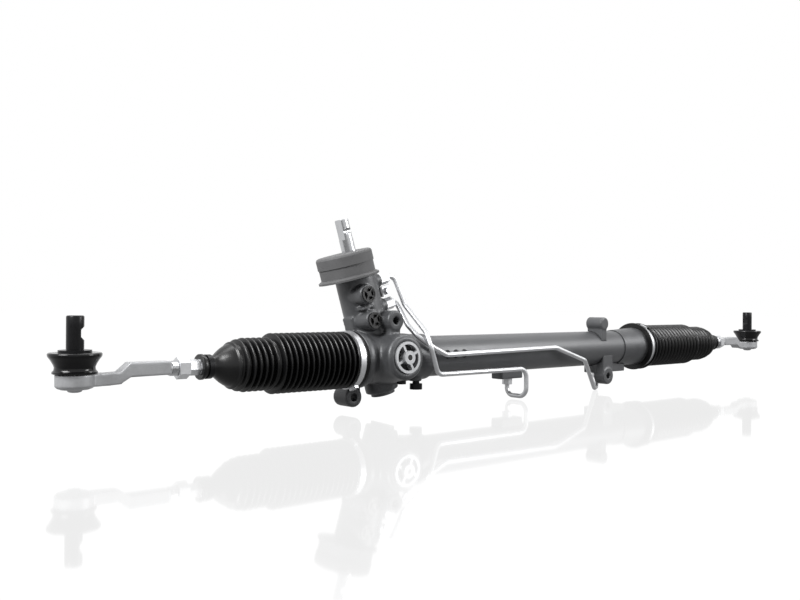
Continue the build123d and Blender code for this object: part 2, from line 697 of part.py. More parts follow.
def yoke_spring():
    """Pair of disc springs, point to point, between the yoke's pocket and the plug."""
    floor = YOKE_END - YOKE_POCKET_DEEP
    middle = (floor + PLUG_START) / 2
    wall = (PLUG_START - floor) * SPRING_DISC_SHARE
    inner = ADJUSTER_R
    outer = YOKE_POCKET_R - SPRING_ROOM
    lower = turned([(inner, floor), (inner + wall, floor), (outer, middle - wall), (outer, middle),
                    (inner, floor + wall)])
    upper = turned([(inner, PLUG_START), (inner + wall, PLUG_START), (outer, middle + wall), (outer, middle),
                    (inner, PLUG_START - wall)])
    return YOKE * (lower + upper)


def yoke_plug():
    """Slotted plug: a rim, a raised hub and spokes that stand between the pockets."""
    body = rod(PLUG_R, PLUG_START, PLUG_FACE)
    pockets = ring(PLUG_R - PLUG_RIM, PLUG_HUB_R, PLUG_FACE - PLUG_POCKET, PLUG_FACE + CUT_OVER)
    spoke = block(PLUG_R, PLUG_SPOKE_WIDE, PLUG_FACE, (PLUG_R / 2, 0, PLUG_FACE / 2 + PLUG_POCKET))
    for i in range(PLUG_SPOKES):
        pockets -= Rot(0, 0, PLUG_SPOKE_TURN + i * FULL_TURN / PLUG_SPOKES) * spoke
    body -= pockets
    body += rod(PLUG_HUB_R, PLUG_FACE - PLUG_POCKET, PLUG_FACE + PLUG_HUB_OUT)
    return YOKE * (body - rod(ADJUSTER_R, PLUG_START - CUT_OVER, PLUG_FACE + PLUG_HUB_OUT + CUT_OVER))


def adjuster_screw():
    end = PLUG_FACE + PLUG_HUB_OUT
    socket = extrude(RegularPolygon(ADJUSTER_SOCKET_R, 6), ADJUSTER_SOCKET_DEEP + CUT_OVER)
    return YOKE * (rod(ADJUSTER_R, PLUG_START, end) - Pos(0, 0, end - ADJUSTER_SOCKET_DEEP) * socket)


def port_plug(at):
    """Transport plug with a rim, a hub and crossed ribs in its open face."""
    end = PORT_OUT + CAP_PLUG_OUT
    body = rod(PORT_BORE_R, PORT_OUT - PORT_BORE_DEEP / 2, PORT_OUT) + rod(CAP_PLUG_R, PORT_OUT, end)
    pocket = rod(CAP_PLUG_R - CAP_PLUG_RIM, end - CAP_PLUG_OUT / 2, end + CUT_OVER)
    pocket += rod(PORT_BORE_R - CAP_PLUG_RIM, end - CAP_PLUG_POCKET, end)
    for turn in CAP_PLUG_TURNS:
        pocket -= Rot(0, 0, turn) * block(2 * CAP_PLUG_R, CAP_PLUG_RIB, 2 * end, (0, 0, 0))
    pocket -= rod(CAP_PLUG_HUB_R, 0, end)
    return port_place(at) * (body - pocket)


def centring_bolt():
    head_low = CENTRING_HEAD_TOP - CENTRING_HEAD_HIGH
    shape = rod(CENTRING_NECK_R, CENTRING_HEAD_TOP, CENTRING_BOSS_BOTTOM + CENTRING_NECK_DEEP)
    shape += rod(CENTRING_HEAD_R, head_low, CENTRING_HEAD_TOP)
    return Pos(CENTRING_X, CENTRING_Y, 0) * shape


def blanking_plug():
    return Pos(BLANK_X, BLANK_Y, 0) * rod(BLANK_R, BLANK_BOTTOM, BLANK_TOP)


# Transfer pipes

def pipe_port_end(at, out):
    """Point on the axis of a pipe port, at a distance from the tower's axis."""
    return (pipe_port_place(at) * Pos(0, 0, out)).position


def pipe_path(points):
    """Straight runs joined by arcs, each limited to what its two runs leave room for."""
    corners = [Vector(*p) for p in points]
    radii = []
    for before, at, after in zip(corners, corners[1:], corners[2:]):
        turn = radians((at - before).get_angle(after - at))
        room = BEND_ROOM_SHARE * min((at - before).length, (after - at).length)
        radii.append(min(PIPE_BEND_R, room / tan(turn / 2)))
    return FilletPolyline(*corners, radius=radii)


def pipe(points):
    path = pipe_path(points)
    section = Plane(origin=path @ 0, z_dir=path % 0) * Circle(PIPE_R)
    return sweep(section, path=path)


def left_pipe_points():
    """Upper port to the left end of the cylinder: down past the yoke, then low along the tube."""
    nut_end = PIPE_PORT_OUT + PIPE_NUT_LONG
    start = pipe_port_end(PIPE_PORT_UPPER_AT, PIPE_PORT_OUT + PIPE_NUT_LONG / 2)
    first = pipe_port_end(PIPE_PORT_UPPER_AT, nut_end + PIPE_BEND_R)
    hook_low = BLOCK_BOTTOM_Z - HOOK_DROP
    return [start, first, *LEFT_PIPE_BENDS, (LEFT_PORT_X, LEFT_RUN_Y, LEFT_RUN_Z),
            (LEFT_PORT_X, LEFT_RUN_Y, hook_low), (LEFT_PORT_X, 0, hook_low), (LEFT_PORT_X, 0, BLOCK_BOTTOM_Z)]


def right_pipe_points():
    """Lower port to the right end of the cylinder: along the front of the tube, then below the bracket."""
    nut_end = PIPE_PORT_OUT + PIPE_NUT_LONG
    start = pipe_port_end(PIPE_PORT_LOWER_AT, PIPE_PORT_OUT + PIPE_NUT_LONG / 2)
    first = pipe_port_end(PIPE_PORT_LOWER_AT, nut_end + PIPE_BEND_R / 2)
    hook_low = FOOT_BOTTOM_Z - HOOK_DROP
    return [start, first, *RIGHT_PIPE_BENDS, (RIGHT_PORT_X - HOOK_SIDE, -HOOK_FORWARD, hook_low),
            (RIGHT_PORT_X, 0, hook_low), (RIGHT_PORT_X, 0, FOOT_BOTTOM_Z)]


def pipe_nuts():
    """Nuts where the pipes enter the tower and the two blocks under the tube."""
    nut_end = PIPE_PORT_OUT + PIPE_NUT_LONG
    hole = rod(PIPE_R, -FOOT_LONG, FOOT_LONG)
    nuts = [pipe_port_place(at) * (hexagon(PIPE_NUT_AF, PIPE_PORT_OUT, nut_end) - hole)
            for at in (PIPE_PORT_UPPER_AT, PIPE_PORT_LOWER_AT)]
    for x, bottom in ((LEFT_PORT_X, BLOCK_BOTTOM_Z), (RIGHT_PORT_X, FOOT_BOTTOM_Z)):
        nuts.append(Pos(x, 0, 0) * (hexagon(BLOCK_NUT_AF, bottom - BLOCK_NUT_LONG, bottom) - hole))
    return nuts


def pipe_bracket():
    """Retaining block on the right of the tower between the two pipe ports."""
    shape = block(BRACKET_LONG, BRACKET_WIDE, BRACKET_HIGH,
                  (TOWER_R + BRACKET_LONG / 2, -PIPE_PORT_FORWARD, BRACKET_AT), BRACKET_EDGE)
    shape -= rod(TOWER_R, 0, TOWER_TOP)
    screw = Pos(TOWER_R + BRACKET_LONG / 2, 0, BRACKET_AT) * FACING_FRONT
    return TOWER * shape - TOWER * screw * rod(BRACKET_SCREW_R, 0, PIPE_PORT_FORWARD + BRACKET_WIDE)


def bracket_screw():
    face = PIPE_PORT_FORWARD + BRACKET_WIDE / 2
    screw = rod(BRACKET_SCREW_R, PIPE_PORT_FORWARD - BRACKET_WIDE / 2, face)
    screw += hexagon(BRACKET_HEAD_AF, face, face + BRACKET_HEAD_HIGH)
    return TOWER * Pos(TOWER_R + BRACKET_LONG / 2, 0, BRACKET_AT) * FACING_FRONT * screw


# Bellows and clamps, drawn outward from the housing end along local Z

def bellows(start, length, lip_r):
    """Convoluted sleeve from its seat on the housing to its cuff on the tie rod."""
    folds = length - SEAT_LONG - SMALL_CUFF_LONG
    fold_start = start + SEAT_LONG
    cuff_start = fold_start + folds
    end = cuff_start + SMALL_CUFF_LONG
    seat_r = NECK_R + CUFF_WALL
    outer = [(lip_r, start), (lip_r, start + LIP_LONG), (seat_r, start + LIP_LONG), (seat_r, fold_start)]
    large_start = fold_start + LARGE_START_SHARE * folds
    large_end = fold_start + LARGE_END_SHARE * folds
    small_start = fold_start + SMALL_START_SHARE * folds
    small_end = fold_start + SMALL_END_SHARE * folds
    outer += ridges(large_start, large_end, LARGE_RIDGES, LARGE_ROOT_R, LARGE_RIDGE_R)
    outer += ridges(small_start, small_end, SMALL_RIDGES, SMALL_ROOT_R, SMALL_RIDGE_R)
    outer += [(SMALL_CUFF_R, cuff_start), (SMALL_CUFF_R, end - SMALL_RIM_LONG),
              (SMALL_RIM_R, end - SMALL_RIM_LONG), (SMALL_RIM_R, end)]
    inner = [(ROD_COLLAR_R, end), (ROD_COLLAR_R, cuff_start), (SMALL_ROOT_R - BELLOWS_WALL, small_end),
             (SMALL_ROOT_R - BELLOWS_WALL, small_start), (LARGE_ROOT_R - BELLOWS_WALL, large_end),
             (LARGE_ROOT_R - BELLOWS_WALL, fold_start + BELLOWS_WALL), (NECK_R, fold_start), (NECK_R, start)]
    return turned(outer + inner)


def ridges(start, end, count, root_r, ridge_r):
    pitch = (end - start) / count
    points = []
    for i in range(count):
        points += [(root_r, start + i * pitch), (ridge_r, start + (i + RIDGE_WIDTH_SHARE) * pitch)]
    points.append((root_r, end))
    return points


def large_clamp(start):
    """Band on the bellows seat with its folded ear at the lower front."""
    inner_r = NECK_R + CUFF_WALL
    outer_r = inner_r + CLAMP_THICK
    low = start + LIP_LONG + CLAMP_INSET
    shape = ring(outer_r, inner_r, low, low + CLAMP_WIDE)
    middle = low + CLAMP_WIDE / 2
    ear = block(EAR_HIGH, EAR_LONG, EAR_WIDE, (outer_r + EAR_HIGH / 2 - CLAMP_THICK / 2, 0, middle))
    return shape + Rot(0, 0, EAR_TURN_DEG) * ear


def small_clamp(start, length):
    low = start + length - SMALL_RIM_LONG - SMALL_CLAMP_WIDE - CLAMP_INSET
    return ring(SMALL_CLAMP_R, SMALL_CUFF_R, low, low + SMALL_CLAMP_WIDE)


# Rack group

def rack_bar():
    shape = ALONG_X * round_bar(RACK_R, RACK_LEFT_X, RACK_RIGHT_X, RACK_EDGE)
    shape -= ALONG_X * rod(RACK_END_BORE_R, RACK_LEFT_X - CUT_OVER, RACK_LEFT_X + RACK_END_BORE_DEEP)
    shape -= ALONG_X * rod(RACK_END_BORE_R, RACK_RIGHT_X - RACK_END_BORE_DEEP, RACK_RIGHT_X + CUT_OVER)
    left = -(TEETH_LEFT + 1 / 2) * TOOTH_STEP
    right = (TEETH_RIGHT + 1 / 2) * TOOTH_STEP
    flat_deep = RACK_R - RACK_TOP_Y + CUT_OVER
    flat = block(right - left, flat_deep, 2 * RACK_R, ((left + right) / 2, RACK_TOP_Y + flat_deep / 2, 0))
    return ROLL * (shape - flat - rack_grooves())


def rack_grooves():
    """Slanted gaps between the rack's teeth, parallel to the pinion's axis."""
    half_pitch_gap = (TOOTH_PITCH + BACKLASH) / 4
    rise = RACK_TOP_Y + CUT_OVER - PITCH_BACK
    fall = PITCH_BACK - RACK_ROOT_Y
    top = half_pitch_gap + rise * tan(PRESSURE)
    low = half_pitch_gap - fall * tan(PRESSURE)
    gap = make_face(Polyline((-top, RACK_TOP_Y + CUT_OVER), (-low, RACK_ROOT_Y), (low, RACK_ROOT_Y),
                             (top, RACK_TOP_Y + CUT_OVER), close=True))
    reach = 2 * RACK_R
    prism = LEANING * Pos(0, 0, -reach) * extrude(gap, 2 * reach)
    return Compound(children=[Pos(k * TOOTH_STEP, 0, 0) * prism for k in range(-TEETH_LEFT, TEETH_RIGHT + 1)])


def rack_piston():
    half = PISTON_LENGTH / 2
    piston = ring(PISTON_R, RACK_R, PISTON_X - half, PISTON_X + half)
    return ALONG_X * (piston - piston_groove(PISTON_R + CUT_OVER))


def piston_groove(outer_r):
    half = PISTON_RING_WIDE / 2
    return ring(outer_r, PISTON_R - PISTON_GROOVE, PISTON_X - half, PISTON_X + half)


def piston_ring():
    return ALONG_X * piston_groove(TUBE_BORE_R - RUN_FIT)


def inner_socket():
    """Socket of the inner ball joint, ball centre at 0 and mouth towards -Z."""
    seat_r = INNER_BALL_R + SEAT_WALL
    ball_top = INNER_BALL_R + BALL_FIT
    shape = turned([
        (0, SOCKET_BACK), (SOCKET_R, SOCKET_BACK), (SOCKET_R, -SOCKET_LIP_AT),
        (SOCKET_MOUTH_R + SEAT_WALL, -SOCKET_MOUTH), (SOCKET_MOUTH_R, -SOCKET_MOUTH),
        (SOCKET_LIP_R, -SOCKET_LIP_AT), (seat_r, -SEAT_HALF),
        (seat_r, SEAT_HALF), (INNER_BALL_R, ball_top), (0, ball_top)])
    shape += rod(RACK_END_BORE_R, SOCKET_BACK, BALL_TO_RACK + RACK_END_BORE_DEEP - CUT_OVER)
    flats = rod(SOCKET_R + CUT_OVER, SOCKET_BACK - SOCKET_FLAT_LONG, SOCKET_BACK)
    reach = 2 * (SOCKET_R + SOCKET_BACK)
    flats -= block(SOCKET_FLATS, reach, reach, (0, 0, 0))
    return shape - flats


def ball_seat(ball_r, wall, half):
    """Plastic ring with a spherical bore round a ball."""
    return rod(ball_r + wall, -half, half) - Sphere(ball_r + BALL_FIT)


def lock_washer():
    return ring(WASHER_R, RACK_END_BORE_R, SOCKET_BACK, BALL_TO_RACK)


# Pinion group

def pinion_gear():
    shape = Pos(0, 0, -GEAR_HALF) * extrude(pinion_section(), 2 * GEAR_HALF)
    shape += rod(LOWER_JOURNAL_R, -LOWER_JOURNAL_END, -GEAR_HALF + CUT_OVER)
    shape += rod(NUT_THREAD_R, -NUT_THREAD_END, -LOWER_JOURNAL_END + CUT_OVER)
    shape += rod(UPPER_JOURNAL_R, GEAR_HALF - CUT_OVER, UPPER_JOURNAL_END)
    shape += rod(PINION_BORE_R - 2 * CUT_OVER, UPPER_JOURNAL_END, SLEEVE_START)
    return TOWER * (shape - rod(TORSION_R, 0, SLEEVE_START + CUT_OVER))


def pinion_section():
    """Involute section with one tooth pointing to the rack, towards -Y."""
    half_angle = (TOOTH_PITCH / 2 - BACKLASH / 2) / 2 / PITCH_R
    spread = tan(PRESSURE) - PRESSURE
    section = Circle(ROOT_R)
    flank = []
    for i in range(FLANK_STEPS + 1):
        r = BASE_R + (TIP_R - BASE_R) * i / FLANK_STEPS
        roll = acos(min(1, BASE_R / r))
        flank.append((r, half_angle + spread - (tan(roll) - roll)))
    low = (ROOT_R * cos(asin(MODULE / TIP_R)), flank[0][1])
    for k in range(TEETH):
        middle = -pi / 2 + 2 * pi * k / TEETH
        right = [polar(r, middle + a) for r, a in flank]
        left = [polar(r, middle - a) for r, a in reversed(flank)]
        start = polar(low[0], middle + low[1])
        end = polar(low[0], middle - low[1])
        tip = ThreePointArc(right[-1], polar(TIP_R, middle), left[0])
        edges = [Line(start, right[0]), Spline(*right), tip, Spline(*left),
                 Line(left[-1], end), Line(end, start)]
        section += make_face(edges)
    return section


def polar(r, angle):
    return (r * cos(angle), r * sin(angle))


def valve_sleeve():
    shape = ring(SLEEVE_R, VALVE_R + RUN_FIT, SLEEVE_START, SLEEVE_END)
    for i in range(SLEEVE_GROOVES):
        middle = SLEEVE_START + (SLEEVE_END - SLEEVE_START) * (i + 1) / (SLEEVE_GROOVES + 1)
        low = middle - SLEEVE_GROOVE_WIDE / 2
        shape -= ring(SLEEVE_R + CUT_OVER, SLEEVE_R - SLEEVE_GROOVE, low, low + SLEEVE_GROOVE_WIDE)
    pin = Pos(0, 0, DRIVE_PIN_AT) * FACING_FRONT * rod(DRIVE_PIN_R, -SLEEVE_R - CUT_OVER, SLEEVE_R + CUT_OVER)
    return TOWER * (shape - pin)


def input_shaft():
    """Shaft with a full round stretch under a tip that carries the flat and the cross groove."""
    shape = rod(VALVE_R, VALVE_START, VALVE_END) + rod(SHAFT_JOURNAL_R, VALVE_END, SHAFT_JOURNAL_END)
    shape += rod(SHAFT_R, SHAFT_JOURNAL_END, SHAFT_FLAT_START)
    shape += round_boss(SHAFT_TIP_R, SHAFT_FLAT_START, SHAFT_END, SHAFT_EDGE)
    shape -= rod(TORSION_R, VALVE_START - CUT_OVER, SLEEVE_END)
    reach = 2 * SHAFT_R
    shape -= block(reach, reach, SHAFT_END - SHAFT_FLAT_START + CUT_OVER,
                   (-SHAFT_FLAT - reach / 2, 0, (SHAFT_END + SHAFT_FLAT_START + CUT_OVER) / 2))
    notch = Pos(0, -SHAFT_NOTCH_OUT, SHAFT_NOTCH_AT) * ALONG_X * rod(SHAFT_NOTCH_R, -reach, reach)
    return TOWER * (shape - notch)


def torsion_bar():
    return TOWER * rod(TORSION_R, 0, SLEEVE_END)


def drive_pin():
    half = SLEEVE_R - SLEEVE_GROOVE
    pin = rod(DRIVE_PIN_R, -half, -TORSION_R) + rod(DRIVE_PIN_R, TORSION_R, half)
    return TOWER * Pos(0, 0, DRIVE_PIN_AT) * FACING_FRONT * pin


# Tie rods, drawn from the outer ball joint at 0 towards the rack along +X

def tie_rod():
    ball_x = TIE_LENGTH
    shape = Pos(ball_x, 0, 0) * Sphere(INNER_BALL_R)
    shape += ALONG_X * rod(ROD_R, HEX_END, ball_x)
    shape += ALONG_X * rod(ROD_COLLAR_R, HEX_END, COLLAR_SEAT_START + SMALL_CUFF_LONG)
    shape += ALONG_X * hexagon(HEX_AF, HEX_START, HEX_END)
    shape += ALONG_X * rod(THREAD_R, THREAD_START, HEX_START)
    return shape


def jam_nut():
    end = JAM_START + JAM_LONG
    return ALONG_X * (hexagon(JAM_AF, JAM_START, end) - rod(THREAD_R, JAM_START - CUT_OVER, end + CUT_OVER))


def tie_rod_end():
    """Forged end: cup for the ball, cranked arm and the bar that takes the tie rod's thread."""
    cup = turned([(0, CUP_BOTTOM_Z), (CUP_R - CUP_ROUND, CUP_BOTTOM_Z), (CUP_R, CUP_BOTTOM_Z + CUP_ROUND),
                  (CUP_R, CUP_TOP_Z), (0, CUP_TOP_Z)])
    low = rod_section(ARM_CRANK_X, ARM_Z, ARM_WIDE, ARM_HIGH)
    high = rod_section(BAR_START, BAR_Z, BAR_WIDE, BAR_HIGH)
    arm = loft([low, high]) + extrude(low, ARM_START - ARM_CRANK_X)
    bar = extrude(high, BAR_END - BAR_START)
    shape = cup + arm + bar
    shape -= rod(CUP_BORE_R, CUP_BOTTOM_Z - CUT_OVER, CUP_TOP_Z + CUT_OVER)
    return shape - ALONG_X * rod(THREAD_R, THREAD_START, BAR_END + CUT_OVER)


def rod_section(x, z, wide, high):
    """Rounded rectangle across the arm, centred at the height z."""
    return Plane(origin=(x, 0, z), z_dir=(1, 0, 0), x_dir=(0, 1, 0)) * RectangleRounded(wide, high, BAR_EDGE)


def bottom_cap():
    """Pressed cover under the ball, with a shallow dome."""
    under_ball = OUTER_BALL_Z - OUTER_BALL_R - BALL_FIT
    return turned([(0, DOME_Z), (DOME_R, DOME_Z), (DOME_RIM_R, DOME_RIM_Z), (CUP_BORE_R, CUP_BOTTOM_Z),
                   (CUP_BORE_R, SEAT_BOTTOM_Z), (DOME_R, under_ball), (0, under_ball)])


def outer_ball_seat():
    ball = Pos(0, 0, OUTER_BALL_Z) * Sphere(OUTER_BALL_R + BALL_FIT)
    return rod(CUP_BORE_R, SEAT_BOTTOM_Z, CUP_TOP_Z) - ball


def ball_stud():
    """Ball and shank, with a waist round the notch that a clamping bolt passes through."""
    shape = Pos(0, 0, OUTER_BALL_Z) * Sphere(OUTER_BALL_R)
    shape += rod(STUD_NECK_R, OUTER_BALL_Z, BOOT_FLANGE_LOW_Z)
    shape += rod(STUD_SEAT_R, BOOT_FLANGE_LOW_Z, STUD_SHANK_Z)
    shape += round_boss(STUD_R, STUD_SHANK_Z, STUD_TOP_Z, STUD_EDGE)
    waist_low = STUD_NOTCH_Z - STUD_WAIST_HIGH / 2
    shape -= ring(STUD_R + CUT_OVER, STUD_WAIST_R, waist_low, waist_low + STUD_WAIST_HIGH)
    reach = 2 * STUD_R
    notch = block(reach, 2 * reach, STUD_NOTCH_HIGH, (reach - STUD_NOTCH_DEEP, 0, STUD_NOTCH_Z))
    return shape - notch


def dust_boot():
    """Rubber boot from the cup's top to the stud, with a wide flange above its waist."""
    base = CUP_TOP_Z + BOOT_GAP
    outer = [(BOOT_LIP_R, base), (BOOT_LIP_R, BOOT_LIP_Z), (BOOT_WAIST_R, BOOT_WAIST_Z),
             (BOOT_FLANGE_R, BOOT_FLANGE_LOW_Z), (BOOT_FLANGE_R, BOOT_FLANGE_TOP_Z),
             (BOOT_COLLAR_R, BOOT_FLANGE_TOP_Z), (STUD_SEAT_R, BOOT_FLANGE_TOP_Z)]
    inner = [(STUD_SEAT_R, BOOT_FLANGE_TOP_Z - BOOT_WALL),
             (BOOT_FLANGE_R - 2 * BOOT_WALL, BOOT_FLANGE_TOP_Z - BOOT_WALL),
             (BOOT_FLANGE_R - 2 * BOOT_WALL, BOOT_FLANGE_LOW_Z + BOOT_WALL),
             (BOOT_WAIST_R - BOOT_WALL, BOOT_WAIST_Z), (BOOT_LIP_R - 2 * BOOT_WALL, base)]
    return turned(outer + inner)


def boot_ring():
    return ring(BOOT_COLLAR_R, STUD_SEAT_R, BOOT_FLANGE_TOP_Z, BOOT_COLLAR_TOP_Z)


def save_side(side, place, seat_at, seat_start, lip_r, collar_x):
    length = abs(collar_x) - seat_start
    save(f"bellows_{side}", seat_at * bellows(seat_start, length, lip_r))
    save(f"small_clamp_{side}", seat_at * small_clamp(seat_start, length))
    save(f"tie_rod_{side}", place * tie_rod())
    save(f"jam_nut_{side}", place * jam_nut())
    save(f"tie_rod_end_{side}", place * tie_rod_end())
    save(f"outer_ball_seat_{side}", place * outer_ball_seat())
    save(f"bottom_cap_{side}", place * bottom_cap())
    save(f"ball_stud_{side}", place * ball_stud())
    save(f"dust_boot_{side}", place * dust_boot())
    save(f"boot_ring_{side}", place * boot_ring())


def main():
    os.makedirs("parts", exist_ok=True)
    save("rack_housing", rack_housing())
    save("cylinder_tube", cylinder_tube())
    save("left_port_block", left_port_block())
    save("right_bracket", right_bracket())
    save("top_boss", top_boss())
    save("end_collar", end_collar())
    save("seal_carrier", seal_carrier())
    save("rack_seals", inner_seal(), outer_seal())
    save("rack_bush", rack_bush())
    save("stop_ring", stop_ring())
    save("dust_cap", dust_cap())
    save("shaft_seal", shaft_seal())
    save("pinion_bearings", upper_bearing(), lower_bearing())
    save("pinion_nut", pinion_nut())
    save("lower_cap", lower_cap())
    save("yoke", yoke())
    save("yoke_ring", yoke_ring())
    save("yoke_spring", yoke_spring())
    save("yoke_plug", yoke_plug())
    save("adjuster_screw", adjuster_screw())
    save("port_plugs", port_plug(PORT_UPPER_AT), port_plug(PORT_LOWER_AT))
    save("centring_bolt", centring_bolt())
    save("blanking_plug", blanking_plug())
    save("left_pipe", pipe(left_pipe_points()))
    save("right_pipe", pipe(right_pipe_points()))
    save("pipe_nuts", *pipe_nuts())
    save("pipe_bracket", pipe_bracket())
    save("bracket_screw", bracket_screw())
    save("rack_bar", rack_bar())
    save("rack_piston", rack_piston())
    save("piston_ring", piston_ring())
    save("pinion_gear", pinion_gear())
    save("valve_sleeve", valve_sleeve())
    save("input_shaft", input_shaft())
    save("torsion_bar", torsion_bar())
    save("drive_pin", drive_pin())
    joints = (Pos(INNER_LEFT_X, 0, 0) * ALONG_X, Pos(INNER_RIGHT_X, 0, 0) * AGAINST_X)
    save("inner_sockets", *[joint * inner_socket() for joint in joints])
    save("inner_ball_seats", *[joint * ball_seat(INNER_BALL_R, SEAT_WALL, SEAT_HALF) for joint in joints])
    save("lock_washers", *[joint * lock_washer() for joint in joints])
    save("large_clamps", AGAINST_X * large_clamp(-SHOULDER_X), ALONG_X * large_clamp(COLLAR_SEAT_X))
    save_side("left", LEFT_SIDE, AGAINST_X, -SHOULDER_X, LIP_R, OUTER_LEFT_X + COLLAR_SEAT_START)
    save_side("right", RIGHT_SIDE, ALONG_X, COLLAR_SEAT_X, LIP_FLARED_R, OUTER_RIGHT_X - COLLAR_SEAT_START)


main()
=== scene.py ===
import json
from math import cos, pi, radians, sin, sqrt

import bmesh
import bpy
from mathutils import Matrix, Vector


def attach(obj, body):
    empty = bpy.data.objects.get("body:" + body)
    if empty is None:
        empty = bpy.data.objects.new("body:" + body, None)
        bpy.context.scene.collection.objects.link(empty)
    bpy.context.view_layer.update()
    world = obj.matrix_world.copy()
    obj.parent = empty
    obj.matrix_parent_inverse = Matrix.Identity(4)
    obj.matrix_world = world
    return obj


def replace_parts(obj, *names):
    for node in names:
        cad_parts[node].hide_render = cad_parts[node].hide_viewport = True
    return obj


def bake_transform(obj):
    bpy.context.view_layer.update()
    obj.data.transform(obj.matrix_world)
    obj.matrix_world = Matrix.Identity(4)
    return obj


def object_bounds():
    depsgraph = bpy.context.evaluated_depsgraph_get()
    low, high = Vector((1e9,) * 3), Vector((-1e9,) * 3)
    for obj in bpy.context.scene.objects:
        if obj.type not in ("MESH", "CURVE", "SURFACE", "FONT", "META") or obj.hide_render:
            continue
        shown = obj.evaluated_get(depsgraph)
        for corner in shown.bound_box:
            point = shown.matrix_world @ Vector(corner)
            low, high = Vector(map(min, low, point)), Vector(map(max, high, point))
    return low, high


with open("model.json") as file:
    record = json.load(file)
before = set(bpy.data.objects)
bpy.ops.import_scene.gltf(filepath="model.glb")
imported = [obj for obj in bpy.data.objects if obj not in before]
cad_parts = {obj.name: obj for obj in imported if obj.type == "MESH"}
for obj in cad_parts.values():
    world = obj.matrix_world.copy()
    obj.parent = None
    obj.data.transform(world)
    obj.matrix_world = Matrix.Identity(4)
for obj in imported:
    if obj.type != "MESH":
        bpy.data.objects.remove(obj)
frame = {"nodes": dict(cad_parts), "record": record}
cad_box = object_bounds()
nodes = frame["nodes"]

# A millimetre in Blender's metres, and the rack axis in the saved frame
MM = 0.001
AXIS_Y = 25 * MM
AXIS_Z = -45 * MM

# Places along the rack axis, in millimetres as every size below
OUTER_LEFT_X = -361
OUTER_RIGHT_X = 869
SHOULDER_X = -44
COLLAR_SEAT_X = 505

# Each side, the place of its outer ball, and the way from there to the rack
SIDES = (("left", OUTER_LEFT_X, 1), ("right", OUTER_RIGHT_X, -1))


# Node and material helpers

def linear(hex_colour):
    """sRGB hex to the linear colour that a shader socket takes."""
    parts = [int(hex_colour[i:i + 2], 16) / 255 for i in (1, 3, 5)]
    return [p / 12.92 if p <= 0.04045 else ((p + 0.055) / 1.055) ** 2.4 for p in parts] + [1]


def add(tree, kind, values=None, links=None, **settings):
    """Adds one node with its own settings, its input values and what is linked to its inputs."""
    node = tree.nodes.new(kind)
    for key, value in settings.items():
        setattr(node, key, value)
    for key, value in (values or {}).items():
        node.inputs[key].default_value = value
    for key, socket in (links or {}).items():
        tree.links.new(socket, node.inputs[key])
    return node


# Noise seldom leaves this range, so a finish's two colours and its gloss are spread over it
NOISE_LOW = 0.3
NOISE_HIGH = 0.7
SPECKLE_SHARE = 0.35


def surface(name, dark, light, rough, metallic, grain, depth, patch=18, sheen=0.5, rough_swing=0.08):
    """A finish whose colour drifts in patches and whose grain, in millimetres, is raised by depth."""
    material = bpy.data.materials.new(name)
    material.use_nodes = True
    tree = material.node_tree
    tree.nodes.clear()
    place = add(tree, "ShaderNodeTexCoord").outputs["Object"]
    drift = add(tree, "ShaderNodeTexNoise", {"Scale": 1 / (patch * MM), "Detail": 5, "Roughness": 0.65},
                {"Vector": place})
    speckle = add(tree, "ShaderNodeTexNoise", {"Scale": 1 / (grain * MM), "Detail": 3, "Roughness": 0.7},
                  {"Vector": place})
    both = add(tree, "ShaderNodeMix", {0: SPECKLE_SHARE}, {2: drift.outputs[0], 3: speckle.outputs[0]})
    colour = add(tree, "ShaderNodeValToRGB", links={"Fac": both.outputs[0]})
    for stop, at, tint in zip(colour.color_ramp.elements, (NOISE_LOW, NOISE_HIGH), (dark, light)):
        stop.position = at
        stop.color = linear(tint)
    gloss = add(tree, "ShaderNodeMapRange",
                {"From Min": NOISE_LOW, "From Max": NOISE_HIGH, "To Min": rough - rough_swing,
                 "To Max": rough + rough_swing}, {"Value": both.outputs[0]})
    raised = add(tree, "ShaderNodeBump", {"Strength": 0.6, "Distance": depth * MM},
                 {"Height": speckle.outputs[0]})
    shader = add(tree, "ShaderNodeBsdfPrincipled", {"Metallic": metallic, "Specular IOR Level": sheen},
                 {"Base Color": colour.outputs[0], "Roughness": gloss.outputs[0],
                  "Normal": raised.outputs[0]})
    add(tree, "ShaderNodeOutputMaterial", links={"Surface": shader.outputs[0]})
    return material


# Finishes, each named for what the real surface is, and last one of painted shade. The grain of a real skin
# is too fine to show in the render, so each is drawn coarser, at 1 to 2.5 mm.

# Sand-cast aluminium under a dark coat: a soft sheen over a sandy grain
cast_coat = surface("cast_aluminium_dark_coat", "#434446", "#57585a", 0.42, 0.3, 1.6, 0.2)
# Drawn steel tube under the same coat: smoother, with a longer highlight
tube_coat = surface("drawn_tube_dark_coat", "#4e4f51", "#5a5b5d", 0.42, 0.2, 2.5, 0.03, patch=40)
# Moulded plastic cap, matte with a fine sparked texture
cap_plastic = surface("moulded_cap_plastic", "#555556", "#626263", 0.68, 0, 1.2, 0.1)
# Moulded rubber of the bellows: black with a satin sheen on its rims
bellows_rubber = surface("moulded_bellows_rubber", "#060607", "#0c0c0d", 0.31, 0, 1.5, 0.04, sheen=0.35)
# Moulded rubber of the ball joint boots: glossy black
boot_rubber = surface("moulded_boot_rubber", "#040405", "#08080a", 0.14, 0, 2, 0.01, sheen=0.3,
                      rough_swing=0.04)
# Zinc plate on steel: bright with a faint cloudy bloom
zinc_plate = surface("zinc_plated_steel", "#c3c4c6", "#d6d7d9", 0.4, 0.8, 1.2, 0.004, patch=30,
                     rough_swing=0.03)
# Turned and ground steel: bright and sharp
ground_steel = surface("ground_steel", "#b4b5b7", "#c6c7c9", 0.2, 1, 1, 0.002, patch=30, rough_swing=0.03)
